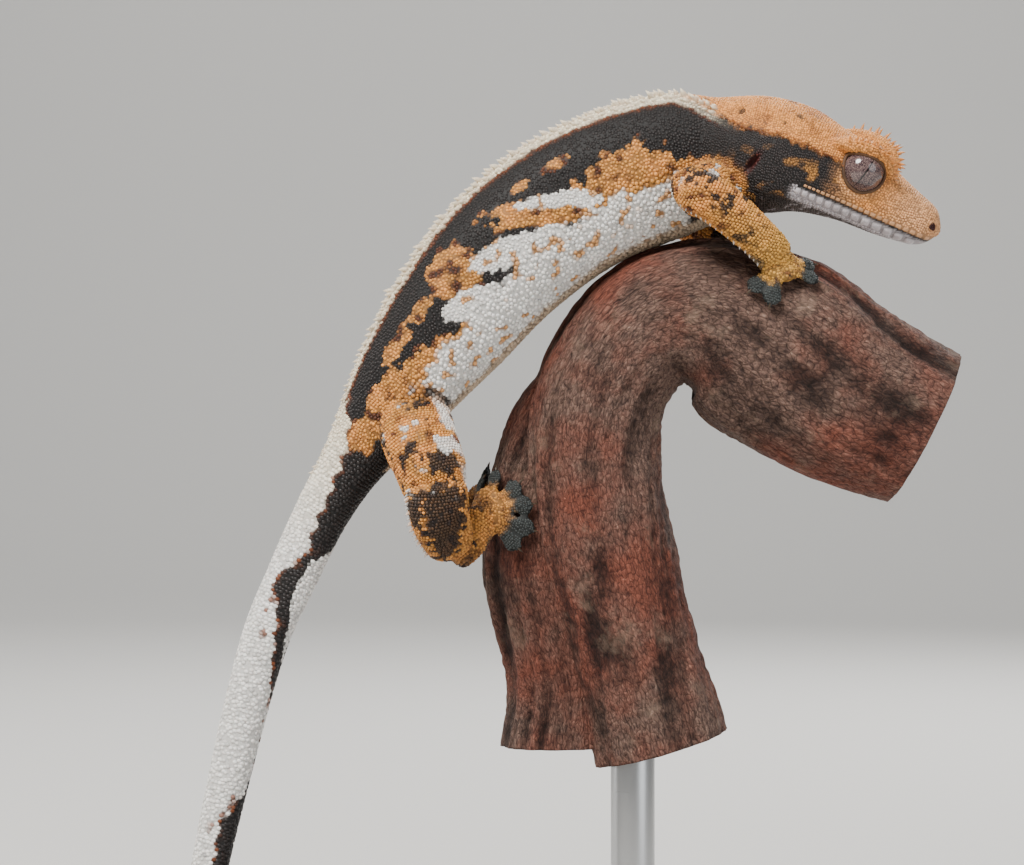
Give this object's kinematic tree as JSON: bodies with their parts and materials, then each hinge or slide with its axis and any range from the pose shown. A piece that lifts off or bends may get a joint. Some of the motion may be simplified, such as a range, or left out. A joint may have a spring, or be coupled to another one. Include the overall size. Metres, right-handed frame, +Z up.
{
  "type": "crested gecko model",
  "caption": "Still life-size model of a crested gecko climbing over a cut branch, tail hanging, held by a rod on a flat display base.",
  "frame": {"origin": "middle of the stand's underside, where it rests", "axes": "+X towards the snout, +Z up, -Y the animal's right side"},
  "size_m": [0.124, 0.084, 0.168],
  "materials": {
    "skin": "dry scaled skin, orange-tan and near black with white patches",
    "eye": "glossy and opaque, brown-grey iris with a slit pupil",
    "branch": "weathered, fibrous",
    "base": "satin, dark stained",
    "rod": "brushed"
  },
  "bodies": {
    "root": {"head": "skin", "neck": "skin", "chest": "skin", "belly": "skin", "hips": "skin", "tail_base": "skin", "tail_middle": "skin", "tail_tip": "skin", "eye_right": "eye", "eye_left": "eye", "upper_arm_right": "skin", "forearm_right": "skin", "hand_right": "skin", "upper_arm_left": "skin", "forearm_left": "skin", "hand_left": "skin", "thigh_right": "skin", "shin_right": "skin", "foot_right": "skin", "thigh_left": "skin", "shin_left": "skin", "foot_left": "skin", "perch": "branch", "stand_base": "base", "stand_rod": "rod"}
  },
  "joints": []
}
